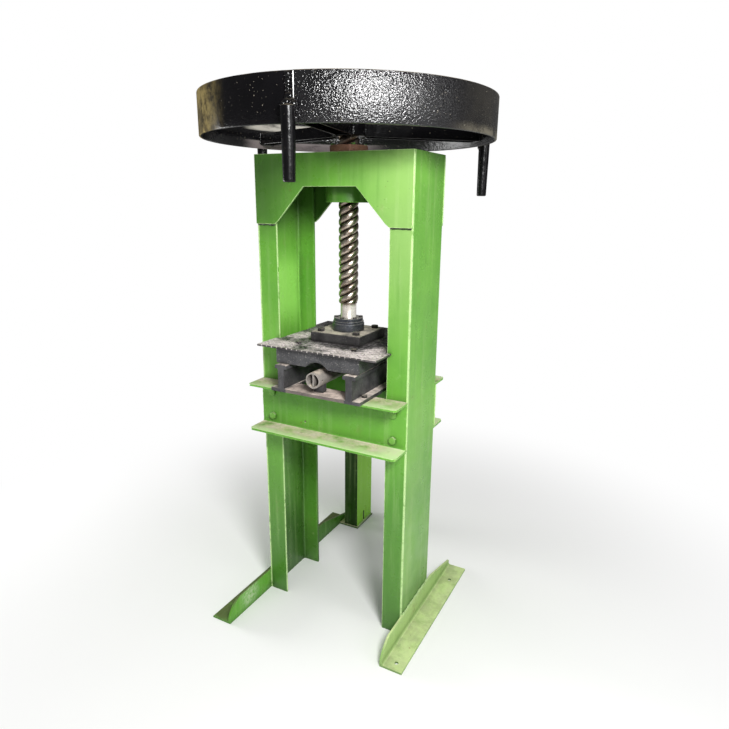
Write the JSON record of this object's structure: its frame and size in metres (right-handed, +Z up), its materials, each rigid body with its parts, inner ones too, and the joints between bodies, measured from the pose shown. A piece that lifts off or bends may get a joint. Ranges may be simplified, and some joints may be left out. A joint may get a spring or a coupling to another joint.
{
  "type": "hand press",
  "caption": "Floor-standing screw press: a heavy rim wheel turns a screw that lowers a guided ram onto a forming die.",
  "frame": {"origin": "on the floor, below the screw axis, half way between the columns", "axes": "+Z up along the screw, +X to the right along the bed, -Y to the front"},
  "size_m": [0.9933, 1.127, 1.898],
  "materials": {
    "green_paint": "gloss paint, dusty and worn",
    "green_bolts": "gloss paint",
    "die_steel": "dull, dusty",
    "core_steel": "dull, dusty",
    "black_paint": "gloss paint with orange peel",
    "screw_steel": "oiled",
    "plate_steel": "dull, dusty",
    "collar_steel": "blued",
    "bolt_steel": "blackened",
    "bronze": "dull, greasy",
    "chequer_steel": "chequered, dusty",
    "punch_steel": "dull, speckled"
  },
  "bodies": {
    "frame": {"left_column": "green_paint", "right_column": "green_paint", "head_front_plate": "green_paint", "head_back_plate": "green_paint", "head_top_deck": "green_paint", "head_lower_deck": "green_paint", "nut_housing": "green_paint", "front_bed_beam": "green_paint", "rear_bed_beam": "green_paint", "left_foot": "green_paint", "right_foot": "green_paint", "rear_leg": "green_paint", "rear_leg_tie": "green_paint", "rear_foot_plate": "green_paint", "nut_bolts": "green_bolts", "bed_bolts": "green_bolts", "bed_nuts": "green_bolts", "bed_washers": "green_bolts", "die_bolts": "bolt_steel", "die_nuts": "bolt_steel", "bronze_nut": "bronze", "die_left_rail": "die_steel", "die_right_rail": "die_steel", "die_front_strap": "die_steel", "die_rear_strap": "die_steel", "front_core_saddle": "die_steel", "rear_core_saddle": "die_steel"},
    "ram": {"punch_block": "punch_steel", "guide_plate": "chequer_steel", "thrust_disc": "bronze", "ram_plate": "plate_steel", "collar_cup": "collar_steel", "collar_left_spacer": "collar_steel", "collar_right_spacer": "collar_steel", "collar_rear_cap": "collar_steel", "collar_front_cap": "collar_steel", "guide_plate_bolts": "bolt_steel", "ram_plate_bolts": "bolt_steel", "cap_bolts": "bolt_steel"},
    "screw": {"screw": "screw_steel", "hub_key": "screw_steel", "tip_washer": "screw_steel", "tip_nut": "screw_steel", "wheel_hub": "black_paint", "wheel_rim": "black_paint", "front_spoke": "black_paint", "right_spoke": "black_paint", "left_spoke": "black_paint", "front_handle": "black_paint", "right_handle": "black_paint", "left_handle": "black_paint"},
    "core": {"core_pipe": "core_steel", "core_web": "core_steel"}
  },
  "joints": [
    {"name": "ram_lift", "type": "slide", "parent": "frame", "child": "ram", "axis": [0, 0, 1], "range_m": [0, 0.36]},
    {"name": "screw_spin", "type": "hinge", "parent": "ram", "child": "screw", "pos_m": [0, 0, 1.14], "axis": [0, 0, 1], "range_deg": [0, 1538]},
    {"name": "core_pull", "type": "slide", "parent": "frame", "child": "core", "axis": [0, -1, 0], "range_m": [0, 0.3]}
  ],
  "couplings": [
    {"joint": "ram_lift", "follows": "screw_spin", "m_per_rad": 0.013369}
  ]
}
